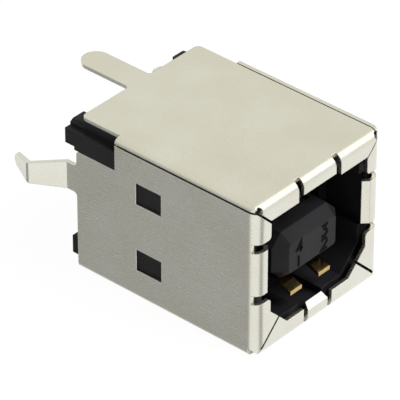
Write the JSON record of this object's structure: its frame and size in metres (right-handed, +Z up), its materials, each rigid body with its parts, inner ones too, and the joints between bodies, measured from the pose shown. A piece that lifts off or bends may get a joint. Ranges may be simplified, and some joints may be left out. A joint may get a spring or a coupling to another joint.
{
  "type": "usb type b socket",
  "caption": "Upright through-hole socket for a square data plug: folded metal shield, moulded insulator with a tongue, spring contacts and legs that solder into a board.",
  "frame": {"origin": "on the flat of the bottom wall, under the middle of the bounding box", "axes": "+X across the socket, to the right as seen from the mating face; +Y from the mating face back to the board; +Z up, from the bottom wall, at the cut corners of the opening, to the cover"},
  "size_m": [0.0136, 0.018, 0.0104],
  "materials": {
    "plated_sheet": "satin tin plate on rolled steel sheet",
    "black_moulding": "fine matte black moulding",
    "contact_gold": "gold plate, smooth"
  },
  "bodies": {
    "root": {"shield_shell": "plated_sheet", "shield_cover": "plated_sheet", "housing": "black_moulding", "contact_1": "contact_gold", "contact_2": "contact_gold", "contact_3": "contact_gold", "contact_4": "contact_gold"}
  },
  "joints": []
}
